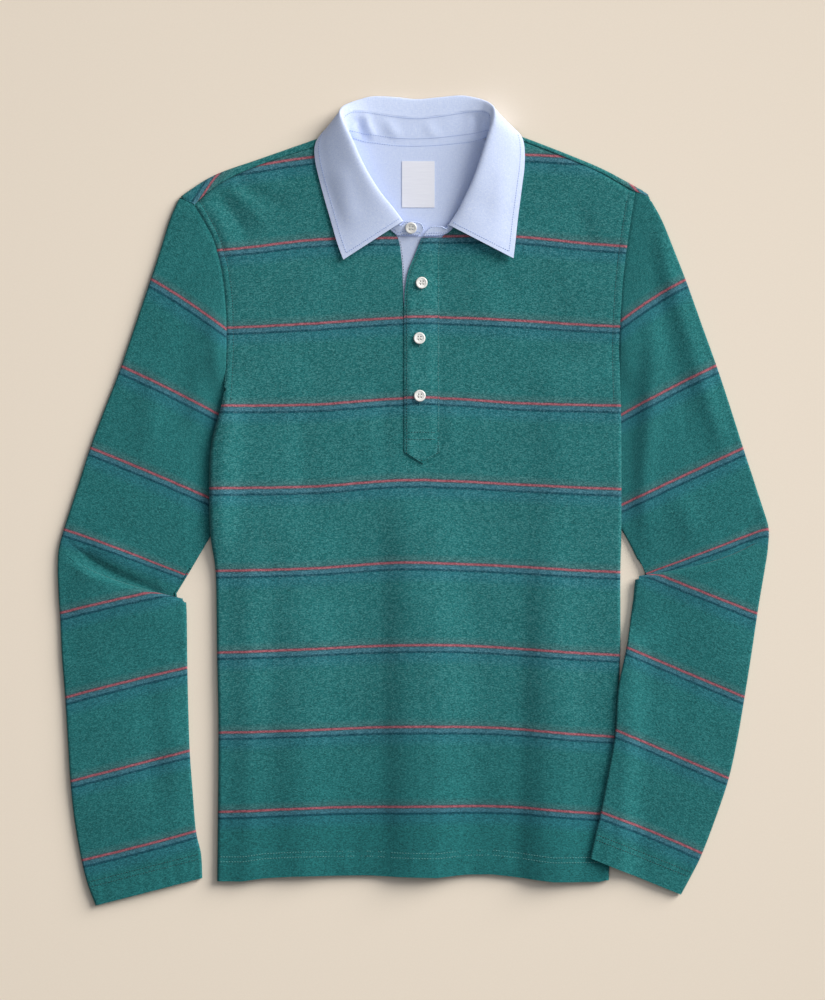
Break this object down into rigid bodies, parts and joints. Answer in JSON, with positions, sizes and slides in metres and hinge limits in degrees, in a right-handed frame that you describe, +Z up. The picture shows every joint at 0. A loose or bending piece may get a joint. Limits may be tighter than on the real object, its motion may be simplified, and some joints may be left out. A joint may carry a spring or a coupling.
{
  "type": "polo shirt",
  "caption": "Long-sleeved polo shirt laid flat, with a woven collar, a buttoned placket and a striped heathered knit body.",
  "frame": {"origin": "on the surface that the shirt lies on, under the middle of its bounding box", "axes": "+Y from the hem towards the collar, +Z up from the surface, +X to the right of somebody who looks down at the front"},
  "size_m": [0.6919, 0.7867, 0.0216],
  "materials": {
    "knit": "heathered teal green cotton knit with red and blue stripes, matt",
    "shirting": "pale blue woven cotton, matt",
    "label_tape": "white woven satin tape, soft sheen",
    "button": "off-white, shell-like, semi-gloss"
  },
  "bodies": {
    "root": {"front_panel": "knit", "back_panel": "knit", "sleeve_left": "knit", "sleeve_right": "knit", "placket_top": "knit", "placket_under": "shirting", "collar_stand": "shirting", "collar_leaf": "shirting", "neck_facing": "shirting", "neck_label": "label_tape", "button_collar": "button", "button_1": "button", "button_2": "button", "button_3": "button"}
  },
  "joints": []
}
